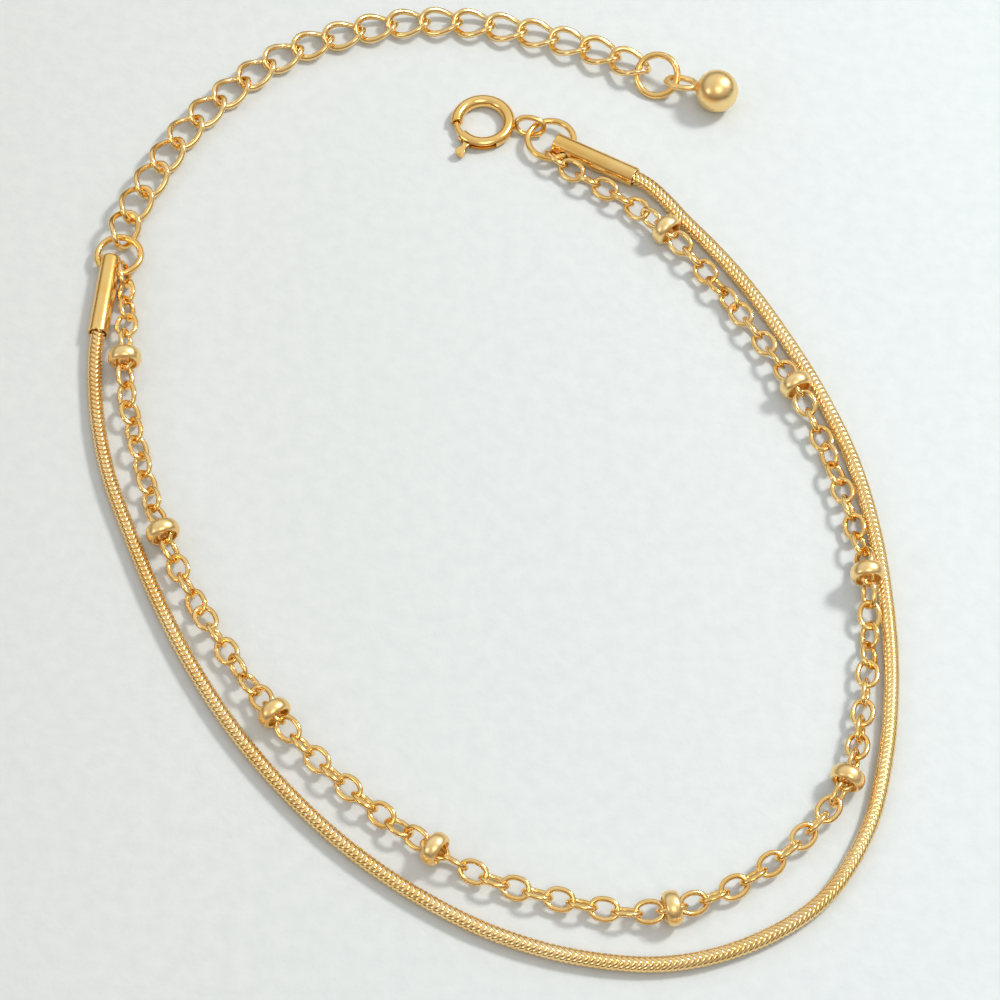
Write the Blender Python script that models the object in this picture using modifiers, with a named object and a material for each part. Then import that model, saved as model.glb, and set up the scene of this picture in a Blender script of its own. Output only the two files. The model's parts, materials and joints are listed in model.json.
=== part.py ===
"""Layered bracelet: a snake chain and a beaded cable chain on one spring ring clasp, with an extender."""

import math

import bmesh
import bpy
from mathutils import Matrix, Vector

MM = 0.001

# Snake chain, the outer strand
SNAKE_DIAMETER = 1.05 * MM
SNAKE_SETTLE = 5.0 * MM
SNAKE_POINTS = 48

# Cable chain with beads, the inner strand
CABLE_LINK_LENGTH = 2.075 * MM
CABLE_LINK_WIDTH = 1.66 * MM
CABLE_WIRE = 0.34 * MM
CABLE_LINK_GAP = 0.03 * MM
CABLE_REST_GAP = 0.02 * MM
CABLE_END_SLACK = 0.21 * MM
BEAD_LINK_WIDTH = 1.36 * MM

# How the cable chain's links spread along its run: shares of its links, and of its run up to there
LINK_SPREAD = ((0.0, 0.0), (0.367, 0.3712), (0.449, 0.4432), (1.0, 1.0))

# How far the cable chain's links turn about its run, in degrees, at shares of the chain
LINK_TURNS = (
    (0.0, 115), (0.051, 115), (0.082, 20), (0.102, 20), (0.133, 105), (0.214, 100), (0.245, 10),
    (0.276, 30), (0.316, 90), (0.347, 0), (0.408, 10), (0.449, -15), (0.612, -30), (0.663, 68),
    (0.745, 68), (0.776, -20), (0.791, -10), (0.816, 75), (0.857, 50), (0.918, 45), (0.969, 85),
    (0.99, 50), (1.0, 80),
)

# Beads, each threaded on one link
BEAD_DIAMETER = 2.3 * MM
BEAD_LENGTH = 1.2 * MM
BEAD_BORE_CLEARANCE = 0.09 * MM
BEAD_LIFT_REACH = 2.0 * MM
BEAD_REST_GAP = 0.06 * MM
LINKS_BEFORE_BEADS = 7
LINKS_BETWEEN_BEADS = (11, 11, 11, 11, 11, 10, 11, 10)
LINKS_AFTER_BEADS = 5

# Extender chain of twisted curb links
EXTENDER_LINK_WIDTH = 2.5 * MM
EXTENDER_WIRE = 0.46 * MM
EXTENDER_LINK_GAP = 0.06 * MM
EXTENDER_LINKS = 20
EXTENDER_TWIST = math.radians(-84)
EXTENDER_LIFT = 0.64 * MM
EXTENDER_START_ROLL = math.radians(35)
EXTENDER_START_HEADING = math.radians(80)
EXTENDER_ROLL_REACH = 5.0 * MM
EXTENDER_START_LIFT = 0.3 * MM
EXTENDER_END_LIFT = 0.3 * MM
EXTENDER_LIFT_REACH = 6.0 * MM

# Ring and ball at the extender's end
END_RING_DIAMETER = 3.45 * MM
END_RING_WIRE = 0.45 * MM
END_RING_TILT = math.radians(33)
BALL_DIAMETER = 3.1 * MM
BALL_EYE_LENGTH = 2.7 * MM
BALL_EYE_WIDTH = 1.95 * MM
BALL_EYE_WIRE = 0.42 * MM
BALL_EYE_LEAN = math.radians(24)

# Jump rings
LEFT_RING_DIAMETER = 3.5 * MM
RIGHT_RING_DIAMETER = 3.75 * MM
JUMP_RING_WIRE = 0.42 * MM

# End caps on the snake chain
CAP_DIAMETER = 1.46 * MM
CAP_LENGTH = 6.5 * MM
CAP_HOLE_SETBACK = 1.25 * MM
CAP_HOLE_CLEARANCE = 0.16 * MM
CAP_HOLE_SWEEP = math.radians(60)
CAP_SOCKET_DEPTH = 1.6 * MM
CAP_FIT = 0.06 * MM
CAP_EDGE = 0.3 * MM

# Spring ring clasp
CLASP_DIAMETER = 4.72 * MM
CLASP_TUBE = 0.9 * MM
CLASP_WALL = 0.13 * MM
CLASP_MOUTH = math.radians(218)
CLASP_TIP = math.radians(182)
BOLT_DIAMETER = 0.44 * MM
BOLT_START = math.radians(178)
BOLT_SWEEP = math.radians(150)
BOLT_TRAVEL = math.radians(45)
BOLT_END_CLEARANCE = math.radians(4)
TRIGGER_ANGLE = math.radians(239)
TRIGGER_WIDTH = 0.56 * MM
TRIGGER_THICKNESS = 0.34 * MM
TRIGGER_REACH = 1.1 * MM
TRIGGER_CLEARANCE = 0.08 * MM
TRIGGER_SLOT_DEPTH = 0.315 * MM
CLASP_EYE_LENGTH = 2.45 * MM
CLASP_EYE_WIDTH = 1.75 * MM
CLASP_EYE_WIRE = 0.36 * MM
CLASP_EYE_LEAN = math.radians(60)
CLASP_EYE_ANGLE = math.radians(-10.4)
SOLDER_DEPTH = 0.12 * MM

# Where the rigid pieces lie, in plan
CLASP_PLACE = Vector((-1.24, 31.57)) * MM
RIGHT_RING_PLACE = Vector((3.68, 29.78)) * MM
RIGHT_CAP_HEADING = math.radians(-28.8)
RIGHT_CAP_CROSSING = math.radians(-31)
RIGHT_CABLE_CROSSING = math.radians(-83)
RIGHT_CABLE_HEADING = math.radians(-48)
LEFT_RING_PLACE = Vector((-26.96, 19.63)) * MM
LEFT_CAP_HEADING = math.radians(-95)
LEFT_CAP_CROSSING = math.radians(-114)
LEFT_CABLE_CROSSING = math.radians(-72)
END_RING_PLACE = Vector((11.5, 35.37)) * MM
BALL_PLACE = Vector((15.78, 33.55)) * MM

# Chain routes in plan, a few chosen points each, in mm
SNAKE_ROUTE = (
    (-27.9, 7.7), (-26.8, 2.2), (-24.9, -3.0), (-22.7, -8.2), (-20.2, -13.1), (-17.2, -17.8),
    (-13.7, -22.1), (-9.7, -26.0), (-5.2, -29.3), (-0.3, -31.9), (5.0, -33.5), (10.6, -33.9),
    (15.9, -32.5), (20.5, -29.5), (23.5, -24.8), (25.0, -19.5), (25.7, -13.9), (25.7, -8.4),
    (25.2, -2.8), (24.1, 2.6), (22.2, 7.9), (19.8, 12.9), (17.0, 17.7), (13.7, 22.1),
)
CABLE_ROUTE = (
    (9.1, 24.2), (13.0, 20.2), (16.2, 15.6), (19.1, 10.9), (21.5, 5.7), (23.2, 0.3), (24.3, -5.3),
    (24.4, -10.9), (23.6, -16.7), (22.3, -21.5), (19.3, -25.4), (14.9, -28.8), (9.6, -30.6),
    (3.9, -29.7), (-1.5, -27.9), (-6.3, -24.8), (-10.6, -21.1), (-14.6, -16.8), (-17.8, -12.3),
    (-20.7, -7.4), (-23.0, -2.2), (-24.6, 3.3), (-25.85, 8.7), (-26.1, 14.7),
)
EXTENDER_ROUTE = (
    (-26.75, 21.75), (-25.0, 26.4), (-22.7, 30.7), (-19.6, 34.3), (-16.0, 37.4), (-11.7, 39.4),
    (-7.0, 40.5), (-2.4, 40.5), (2.4, 39.5), (7.1, 37.8), (9.52, 36.55),
)

# Facets of the solids
LINK_SEGMENTS = 10
WIRE_SIDES = 5
RING_SEGMENTS = 12
TURNED_STEPS = 12
BEAD_STEPS = 10
ARC_STEP = math.radians(20)
TUBE_SIDES = 8
BALL_SEGMENTS = 14
BALL_RINGS = 8

# Tolerances of the modelling steps
WELD = 1e-6
CUT_THROUGH = math.radians(10)


def clear_scene():
    for old in list(bpy.data.objects):
        bpy.data.objects.remove(old)


def gold(name, colour, roughness):
    material = bpy.data.materials.new(name)
    material.use_nodes = True
    shader = material.node_tree.nodes["Principled BSDF"]
    shader.inputs["Base Color"].default_value = (*colour, 1.0)
    shader.inputs["Metallic"].default_value = 1.0
    shader.inputs["Roughness"].default_value = roughness
    return material


def place(name, mesh, material, matrix=None, collection=None):
    """Puts a mesh in the scene as one named piece."""
    piece = bpy.data.objects.new(name, mesh)
    if matrix is not None:
        piece.matrix_world = matrix
    if material is not None and not mesh.materials:
        mesh.materials.append(material)
    (collection or bracelet).objects.link(piece)
    return piece


def evaluated_mesh(helper):
    """The mesh that a helper object evaluates to, welded, its faces turned out. The helper is removed."""
    bpy.context.view_layer.update()
    graph = bpy.context.evaluated_depsgraph_get()
    mesh = bpy.data.meshes.new_from_object(helper.evaluated_get(graph))
    shape = bmesh.new()
    shape.from_mesh(mesh)
    bmesh.ops.remove_doubles(shape, verts=shape.verts, dist=WELD)
    bmesh.ops.recalc_face_normals(shape, faces=shape.faces)
    shape.to_mesh(mesh)
    shape.free()
    bpy.data.objects.remove(helper)
    mesh.materials.clear()
    return mesh


def poly_curve(name, points, cyclic=False, dimensions="3D"):
    curve = bpy.data.curves.new(name, "CURVE")
    curve.dimensions = dimensions
    curve.twist_mode = "Z_UP"
    spline = curve.splines.new("POLY")
    spline.points.add(len(points) - 1)
    for point, target in zip(points, spline.points):
        target.co = (*point, 1.0)
    spline.use_cyclic_u = cyclic
    return curve


def tube_curve(name, points, radius, sides=TUBE_SIDES):
    curve = poly_curve(name, points)
    curve.bevel_depth = radius
    curve.bevel_resolution = (sides - 4) // 2
    curve.use_fill_caps = True
    return curve


def tube_mesh(name, points, radius, sides=TUBE_SIDES):
    helper = bpy.data.objects.new(name, tube_curve(name, points, radius, sides))
    cutters.objects.link(helper)
    return evaluated_mesh(helper)


def band_mesh(name, points, width, height):
    """A bar of rectangular section along points that lie in a level plane."""
    signs = ((-1, -1), (1, -1), (1, 1), (-1, 1))
    corners = [(x * width / 2, y * height / 2, 0.0) for x, y in signs]
    section = poly_curve(name + "_section", corners, cyclic=True, dimensions="2D")
    section_object = bpy.data.objects.new(name + "_section", section)
    cutters.objects.link(section_object)
    curve = poly_curve(name, points)
    curve.bevel_mode = "OBJECT"
    curve.bevel_object = section_object
    curve.use_fill_caps = True
    helper = bpy.data.objects.new(name, curve)
    cutters.objects.link(helper)
    mesh = evaluated_mesh(helper)
    bpy.data.objects.remove(section_object)
    return mesh


def turned_mesh(name, profile, steps, closed=False):
    """A profile of (radius, height) points turned about Z."""
    mesh = bpy.data.meshes.new(name)
    edges = [(i, i + 1) for i in range(len(profile) - 1)]
    if closed:
        edges.append((len(profile) - 1, 0))
    mesh.from_pydata([(radius, 0.0, height) for radius, height in profile], edges, [])
    helper = bpy.data.objects.new(name, mesh)
    cutters.objects.link(helper)
    screw = helper.modifiers.new("turn", "SCREW")
    screw.steps = steps
    screw.render_steps = steps
    screw.use_merge_vertices = True
    screw.merge_threshold = WELD
    return evaluated_mesh(helper)


def torus_mesh(name, diameter, wire, segments, sides=WIRE_SIDES):
    bpy.ops.mesh.primitive_torus_add(
        major_radius=(diameter - wire) / 2,
        minor_radius=wire / 2,
        major_segments=segments,
        minor_segments=sides,
        generate_uvs=False,
    )
    helper = bpy.context.object
    helper.name = name
    return evaluated_mesh(helper)


def oval_mesh(name, length, width, wire, twist=0.0):
    """A link along X: a torus drawn out to its length, its ends turned against each other by the twist."""
    mesh = torus_mesh(name, width, wire, LINK_SEGMENTS)
    half_step = math.pi / LINK_SEGMENTS
    stretch = (length - wire) / 2 - (width - wire) / 2 * math.cos(half_step)
    turn = Matrix.Rotation(half_step, 4, "Z")
    for vertex in mesh.vertices:
        spot = turn @ vertex.co
        if abs(spot.x) > wire:
            spot.x += math.copysign(stretch, spot.x)
        lean = twist * spot.x / length
        vertex.co = Matrix.Rotation(lean, 3, "X") @ spot
    return mesh


def boolean(piece, other, operation):
    cut = piece.modifiers.new(operation.lower(), "BOOLEAN")
    cut.operation = operation
    cut.object = other
    other.hide_render = True
    other.display_type = "WIRE"


def combined_mesh(name, base, others):
    """The base mesh with the others joined to it or cut from it, in their order."""
    helper = place(name + "_base", base, None, collection=cutters)
    used = []
    for count, (operation, mesh, matrix) in enumerate(others):
        other = place(f"{name}_{operation.lower()}_{count}", mesh, None, matrix, cutters)
        boolean(helper, other, operation)
        used.append(other)
    mesh = evaluated_mesh(helper)
    for other in used:
        bpy.data.objects.remove(other)
    return mesh


def hermite(points, start=None, end=None, per_span=12):
    """A smooth curve through the points, with its end directions given or free."""
    slopes = [(points[min(i + 1, len(points) - 1)] - points[max(i - 1, 0)]) / 2 for i in range(len(points))]
    if start is not None:
        slopes[0] = start.normalized() * (points[1] - points[0]).length
    if end is not None:
        slopes[-1] = end.normalized() * (points[-1] - points[-2]).length
    curve = []
    for first, second, slope, next_slope in zip(points, points[1:], slopes, slopes[1:]):
        for step in range(per_span):
            t = step / per_span
            curve.append(
                first * (2 * t**3 - 3 * t**2 + 1)
                + slope * (t**3 - 2 * t**2 + t)
                + second * (3 * t**2 - 2 * t**3)
                + next_slope * (t**3 - t**2)
            )
    curve.append(points[-1].copy())
    return curve


def distances(points):
    total = [0.0]
    for first, second in zip(points, points[1:]):
        total.append(total[-1] + (second - first).length)
    return total


def at_distance(points, total, distance):
    span = 0
    while span < len(points) - 2 and total[span + 1] < distance:
        span += 1
    share = (distance - total[span]) / (total[span + 1] - total[span])
    return points[span].lerp(points[span + 1], share)


def equal_shares(count):
    return [i / (count - 1) for i in range(count)]


def placed_at(points, shares):
    """The curve's points at these shares of its length and its directions there, over half a step."""
    total = distances(points)
    reach = total[-1] / (len(shares) - 1) / 4
    spots = []
    directions = []
    for share in shares:
        distance = share * total[-1]
        before = at_distance(points, total, max(distance - reach, 0))
        after = at_distance(points, total, min(distance + reach, total[-1]))
        spots.append(at_distance(points, total, distance))
        directions.append((after - before).normalized())
    return spots, directions


def plan_route(route, height):
    return [Vector((x * MM, y * MM, height)) for x, y in route]


def arc_points(radius, start, end, centre=Vector((0, 0, 0))):
    steps = max(1, round(abs(end - start) / ARC_STEP))
    angles = [start + (end - start) * i / steps for i in range(steps + 1)]
    return [centre + Vector((radius * math.cos(a), radius * math.sin(a), 0.0)) for a in angles]


def along(direction, spot, roll=0.0):
    """The placing of a piece modelled along X: its X axis on the direction, turned by the roll about it."""
    direction = direction.normalized()
    side = Vector((0, 0, 1)).cross(direction).normalized()
    up = direction.cross(side)
    frame = Matrix((direction, side, up)).transposed().to_4x4()
    return Matrix.Translation(spot) @ frame @ Matrix.Rotation(roll, 4, "X")


def heading(angle):
    return Vector((math.cos(angle), math.sin(angle), 0.0))


def ring_spot(ring_place, diameter, angle):
    """A point on the middle line of a jump ring's wire."""
    centre = Vector((*ring_place, CAP_DIAMETER / 2))
    return centre + heading(angle) * (diameter - JUMP_RING_WIRE) / 2


def cap_mesh(name, ring_diameter, crossing):
    """An end cap along X from its closed end, with a socket for the snake chain and a hole for the ring."""
    radius = CAP_DIAMETER / 2
    socket = SNAKE_DIAMETER / 2 + CAP_FIT
    end = CAP_LENGTH
    profile = (
        (0.0, end),
        (radius - CAP_EDGE, end),
        (radius, end - CAP_EDGE),
        (radius, 0.0),
        (socket, 0.0),
        (socket, CAP_SOCKET_DEPTH),
        (0.0, CAP_SOCKET_DEPTH),
    )
    body = turned_mesh(name, profile, TURNED_STEPS)
    body.transform(Matrix.Translation((end, 0, 0)) @ Matrix.Rotation(-math.pi / 2, 4, "Y"))
    mean = (ring_diameter - JUMP_RING_WIRE) / 2
    ring_centre = Vector((CAP_HOLE_SETBACK, 0, 0)) - heading(crossing) * mean
    points = arc_points(mean, crossing - CAP_HOLE_SWEEP, crossing + CAP_HOLE_SWEEP, ring_centre)
    drill = tube_mesh(name + "_drill", points, JUMP_RING_WIRE / 2 + CAP_HOLE_CLEARANCE)
    return combined_mesh(name, body, [("DIFFERENCE", drill, None)])


def make_caps(material):
    """Both end caps. Their mouths and directions are where the snake chain starts and ends."""
    mouths = []
    for name, place_in_plan, diameter, cap_heading, crossing in (
        ("end_cap_left", LEFT_RING_PLACE, LEFT_RING_DIAMETER, LEFT_CAP_HEADING, LEFT_CAP_CROSSING),
        ("end_cap_right", RIGHT_RING_PLACE, RIGHT_RING_DIAMETER, RIGHT_CAP_HEADING, RIGHT_CAP_CROSSING),
    ):
        axis = heading(cap_heading)
        spot = ring_spot(place_in_plan, diameter, crossing) - axis * CAP_HOLE_SETBACK
        place(name, cap_mesh(name, diameter, crossing - cap_heading), material, along(axis, spot))
        mouths.append((spot + axis * CAP_LENGTH, axis))
    return mouths


def snake_curve(mouths):
    """The middle line of the snake chain, which comes down from the caps' height to the surface."""
    (left_mouth, left_axis), (right_mouth, right_axis) = mouths
    ends = [Vector((mouth.x, mouth.y, 0)) for mouth in (left_mouth, right_mouth)]
    curve = hermite([ends[0], *plan_route(SNAKE_ROUTE, 0), ends[1]], left_axis, -right_axis)
    total = distances(curve)
    raised = []
    for point, distance in zip(curve, total):
        share = min(1, min(distance, total[-1] - distance) / SNAKE_SETTLE)
        drop = (CAP_DIAMETER - SNAKE_DIAMETER) / 2 * (3 * share**2 - 2 * share**3)
        raised.append(point + Vector((0, 0, CAP_DIAMETER / 2 - drop)))
    return raised


def make_snake_chain(material, mouths, curve):
    """The snake chain, from socket to socket, as a tube along its route."""
    (left_mouth, left_axis), (right_mouth, right_axis) = mouths
    depth = CAP_SOCKET_DEPTH - CAP_FIT
    seats = [left_mouth - left_axis * depth, right_mouth - right_axis * depth]
    middle_line, _ = placed_at(curve, equal_shares(SNAKE_POINTS))
    points = [seats[0], *middle_line, seats[1]]
    place("snake_chain", tube_mesh("snake_chain", points, SNAKE_DIAMETER / 2), material)


def bead_indices(count):
    """The links that carry a bead, in the same shares of the chain whatever its count of links."""
    whole = LINKS_BEFORE_BEADS + 1 + sum(LINKS_BETWEEN_BEADS) + LINKS_AFTER_BEADS
    places = [LINKS_BEFORE_BEADS]
    for gap in LINKS_BETWEEN_BEADS:
        places.append(places[-1] + gap)
    return [round(place_index * count / whole) for place_index in places]


def cable_pitch():
    flat = CABLE_WIRE / 2 * math.cos(math.pi / WIRE_SIDES)
    return CABLE_LINK_LENGTH - CABLE_WIRE - 2 * flat - CABLE_LINK_GAP


def table_value(table, share):
    """The value at this share in a table of shares and values."""
    for (start, value), (end, next_value) in zip(table, table[1:]):
        if share <= end:
            break
    return value + (next_value - value) * (share - start) / (end - start)


def link_count(run):
    """The number of links that fill this run, taut wherever they spread the most."""
    spreads = []
    for (start, near), (end, far) in zip(LINK_SPREAD, LINK_SPREAD[1:]):
        spreads.append((far - near) / (end - start))
    return round(run * max(spreads) / cable_pitch()) + 1


def cable_ends():
    """The middles of the first and last link, which hang on the jump rings."""
    reach = CABLE_LINK_LENGTH / 2 - CABLE_WIRE - JUMP_RING_WIRE / 2 - CABLE_LINK_GAP
    ends = []
    for place_in_plan, diameter, crossing, neighbour in (
        (RIGHT_RING_PLACE, RIGHT_RING_DIAMETER, RIGHT_CABLE_CROSSING, CABLE_ROUTE[0]),
        (LEFT_RING_PLACE, LEFT_RING_DIAMETER, LEFT_CABLE_CROSSING, CABLE_ROUTE[-1]),
    ):
        hooked = ring_spot(place_in_plan, diameter, crossing)
        hooked.z = 0
        run = Vector((neighbour[0] * MM, neighbour[1] * MM, 0)) - hooked
        ends.append(hooked + run.normalized() * (reach - CABLE_END_SLACK))
    return ends


def bead_height(spot, snake):
    """The height of a bead's middle, on the surface or leaning on the snake chain where that is close."""
    touch = (BEAD_DIAMETER + SNAKE_DIAMETER) / 2 + BEAD_REST_GAP
    near = min(math.hypot(point.x - spot.x, point.y - spot.y) for point in snake)
    leaning = SNAKE_DIAMETER / 2 + math.sqrt(max(0.0, touch**2 - near**2))
    return max(BEAD_DIAMETER / 2, leaning if near < touch else 0.0)


def cable_frames(snake):
    """The places, directions and turns of the cable chain's links, lifted where a bead holds them up."""
    first, last = cable_ends()
    curve = hermite([first, *plan_route(CABLE_ROUTE, 0), last], heading(RIGHT_CABLE_HEADING))
    total = distances(curve)
    count = link_count(total[-1])
    shares = [table_value(LINK_SPREAD, i / (count - 1)) for i in range(count)]
    turns = [math.radians(table_value(LINK_TURNS, i / (count - 1))) for i in range(count)]
    lying = list(zip(shares, turns))
    beads = bead_indices(count)
    heights = []
    for bead in beads:
        share = shares[bead]
        spot = at_distance(curve, total, total[-1] * share)
        heights.append((share, bead_height(spot, snake)))
    raised = []
    for point, distance in zip(curve, total):
        share = distance / total[-1]
        turn = table_value(lying, share)
        steepest = max(abs(math.sin(turn)), abs(math.cos(turn)))
        level = (CABLE_LINK_WIDTH - CABLE_WIRE) / 2 * steepest + CABLE_WIRE / 2 + CABLE_REST_GAP
        lift = 0.0
        for bead_share, height in heights:
            away = (share - bead_share) * total[-1] / BEAD_LIFT_REACH
            lift = max(lift, (height - level) * math.exp(-(away**2)))
        raised.append(point + Vector((0, 0, level + lift)))
    crossed = [turn + i * math.pi / 2 for i, turn in enumerate(turns)]
    return *placed_at(raised, shares), crossed, beads


def tip_face(faces, spot, direction):
    """The flat on the inner side of a link's end, the one that faces back towards the link's middle."""
    best = None
    for face in faces:
        centre = face.calc_center_median() - spot
        facing = -face.normal.dot(direction)
        ahead = centre.dot(direction)
        sideways = (centre - direction * ahead).length
        if facing > 0.9 and ahead > 0 and sideways < CABLE_WIRE / 4:
            if best is None or ahead < best[0]:
                best = (ahead, face)
    return best[1]


def make_cable_chain(material, snake):
    """The cable chain as one body: each link passes through the next and is joined to it at its tip."""
    spots, directions, turns, beads = cable_frames(snake)
    widest = max((after - before).length for before, after in zip(spots, spots[1:]))
    length = CABLE_LINK_LENGTH + widest - cable_pitch()
    plain = oval_mesh("cable_link", length, CABLE_LINK_WIDTH, CABLE_WIRE)
    narrow = oval_mesh("bead_link", length, BEAD_LINK_WIDTH, CABLE_WIRE)
    chain = bmesh.new()
    groups = []
    for index, (spot, direction) in enumerate(zip(spots, directions)):
        mesh = (narrow if index in beads else plain).copy()
        mesh.transform(along(direction, spot, turns[index]))
        first = len(chain.faces)
        chain.from_mesh(mesh)
        chain.faces.ensure_lookup_table()
        groups.append([chain.faces[i] for i in range(first, len(chain.faces))])
        bpy.data.meshes.remove(mesh)
    joins = []
    for i in range(len(spots) - 1):
        end = tip_face(groups[i], spots[i], directions[i])
        start = tip_face(groups[i + 1], spots[i + 1], -directions[i + 1])
        joins.append((end, start))
    for end, start in joins:
        edges = [*end.edges, *start.edges]
        bmesh.ops.delete(chain, geom=[end, start], context="FACES_ONLY")
        bmesh.ops.bridge_loops(chain, edges=edges)
    bmesh.ops.recalc_face_normals(chain, faces=chain.faces)
    mesh = bpy.data.meshes.new("cable_chain")
    chain.to_mesh(mesh)
    chain.free()
    place("cable_chain", mesh, material)
    return spots, directions, beads


def bead_mesh():
    """A rondelle along X with a rounded outer side and a wide bore."""
    half = BEAD_LENGTH / 2
    outer = BEAD_DIAMETER / 2
    widest = math.hypot(BEAD_LINK_WIDTH, CABLE_WIRE) / 2
    bore = (widest + BEAD_BORE_CLEARANCE) / math.cos(math.pi / BEAD_STEPS)
    lip = (bore + outer) / 2
    profile = ((lip, half), (outer, half / 2), (outer, -half / 2), (lip, -half), (bore, 0.0))
    mesh = turned_mesh("bead", profile, BEAD_STEPS, closed=True)
    mesh.transform(Matrix.Rotation(math.pi / 2, 4, "Y"))
    return mesh


def make_beads(material, spots, directions, beads):
    mesh = bead_mesh()
    for number, index in enumerate(beads, 1):
        level = Vector((directions[index].x, directions[index].y, 0))
        spot = spots[index].copy()
        spot.z = max(spot.z, BEAD_DIAMETER / 2)
        place(f"bead_{number}", mesh, material, along(level, spot))


def make_extender(material):
    """The extender's links, each twisted to lie flat. The first ones turn up to meet the jump ring."""
    curve = hermite(plan_route(EXTENDER_ROUTE, EXTENDER_LIFT), heading(EXTENDER_START_HEADING))
    total = distances(curve)
    raised = []
    for point, distance in zip(curve, total):
        start = EXTENDER_START_LIFT * math.exp(-distance / EXTENDER_LIFT_REACH)
        end = EXTENDER_END_LIFT * math.exp(-(total[-1] - distance) / EXTENDER_LIFT_REACH)
        raised.append(point + Vector((0, 0, start + end)))
    spots, directions = placed_at(raised, equal_shares(EXTENDER_LINKS))
    pitch = (spots[-1] - spots[-2]).length
    length = pitch + 2 * EXTENDER_WIRE + EXTENDER_LINK_GAP
    mesh = oval_mesh("extender_link", length, EXTENDER_LINK_WIDTH, EXTENDER_WIRE, EXTENDER_TWIST)
    for i, (spot, direction) in enumerate(zip(spots, directions)):
        roll = EXTENDER_START_ROLL * math.exp(-i * pitch / EXTENDER_ROLL_REACH)
        place(f"extender_link_{i + 1:02d}", mesh, material, along(direction, spot, roll))


def make_jump_rings(material):
    for name, spot, diameter in (
        ("jump_ring_left", LEFT_RING_PLACE, LEFT_RING_DIAMETER),
        ("jump_ring_right", RIGHT_RING_PLACE, RIGHT_RING_DIAMETER),
    ):
        mesh = torus_mesh(name, diameter, JUMP_RING_WIRE, RING_SEGMENTS)
        place(name, mesh, material, Matrix.Translation(Vector((*spot, CAP_DIAMETER / 2))))


def make_end_ring_and_ball(ring_material, ball_material):
    """The ring that ends the extender and the ball that hangs on it by its soldered eye."""
    mean = (END_RING_DIAMETER - END_RING_WIRE) / 2
    ring_centre = Vector((*END_RING_PLACE, END_RING_WIRE / 2 + mean * math.sin(END_RING_TILT)))
    ball_centre = Vector((*BALL_PLACE, BALL_DIAMETER / 2))
    run = ball_centre - ring_centre
    run.z = 0
    ring = torus_mesh("extender_end_ring", END_RING_DIAMETER, END_RING_WIRE, RING_SEGMENTS)
    place("extender_end_ring", ring, ring_material, along(run, ring_centre, END_RING_TILT))
    hooked = ring_centre + run.normalized() * mean
    towards = (hooked - ball_centre).normalized()
    eye_centre = towards * (BALL_DIAMETER / 2 + BALL_EYE_LENGTH / 2 - SOLDER_DEPTH)
    bpy.ops.mesh.primitive_uv_sphere_add(
        segments=BALL_SEGMENTS,
        ring_count=BALL_RINGS,
        radius=BALL_DIAMETER / 2,
    )
    ball = evaluated_mesh(bpy.context.object)
    eye = oval_mesh("ball_eye", BALL_EYE_LENGTH, BALL_EYE_WIDTH, BALL_EYE_WIRE)
    mesh = combined_mesh("ball_drop", ball, [("UNION", eye, along(towards, eye_centre, BALL_EYE_LEAN))])
    place("ball_drop", mesh, ball_material, Matrix.Translation(ball_centre))


def clasp_centre():
    return Vector((*CLASP_PLACE, CLASP_TUBE / 2))


def make_clasp_ring(material):
    """The clasp's hollow tube with its mouth, the slot for the trigger and the soldered eye."""
    radius = (CLASP_DIAMETER - CLASP_TUBE) / 2
    bore = CLASP_TUBE / 2 - CLASP_WALL
    full = 2 * math.pi
    tube = tube_mesh("clasp_tube", arc_points(radius, CLASP_MOUTH, CLASP_TIP + full), CLASP_TUBE / 2)
    pocket_end = BOLT_START + BOLT_SWEEP + BOLT_TRAVEL + BOLT_END_CLEARANCE
    pocket = tube_mesh("pocket", arc_points(radius, CLASP_MOUTH - CUT_THROUGH, pocket_end), bore)
    tip_points = arc_points(radius, BOLT_START - BOLT_END_CLEARANCE, CLASP_TIP + CUT_THROUGH)
    tip = tube_mesh("tip_socket", tip_points, bore)
    margin = (TRIGGER_WIDTH / 2 + TRIGGER_CLEARANCE) / radius
    slot_height = TRIGGER_THICKNESS + 2 * TRIGGER_CLEARANCE
    slot_end = TRIGGER_ANGLE + BOLT_TRAVEL + margin
    slot_points = arc_points(radius + CLASP_TUBE / 2, TRIGGER_ANGLE - margin, slot_end)
    slot = band_mesh("trigger_slot", slot_points, 2 * TRIGGER_SLOT_DEPTH, slot_height)
    eye_reach = CLASP_DIAMETER / 2 + CLASP_EYE_LENGTH / 2 - SOLDER_DEPTH
    side_wire = (CLASP_EYE_WIDTH - CLASP_EYE_WIRE) / 2
    eye_height = side_wire * math.sin(CLASP_EYE_LEAN) + CLASP_EYE_WIRE / 2 - CLASP_TUBE / 2
    eye_spot = heading(CLASP_EYE_ANGLE) * eye_reach + Vector((0, 0, eye_height))
    eye = oval_mesh("clasp_eye", CLASP_EYE_LENGTH, CLASP_EYE_WIDTH, CLASP_EYE_WIRE)
    steps = [
        ("UNION", eye, along(heading(CLASP_EYE_ANGLE), eye_spot, CLASP_EYE_LEAN)),
        ("DIFFERENCE", pocket, None),
        ("DIFFERENCE", tip, None),
        ("DIFFERENCE", slot, None),
    ]
    mesh = combined_mesh("clasp_ring", tube, steps)
    place("clasp_ring", mesh, material, Matrix.Translation(clasp_centre()))


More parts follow.
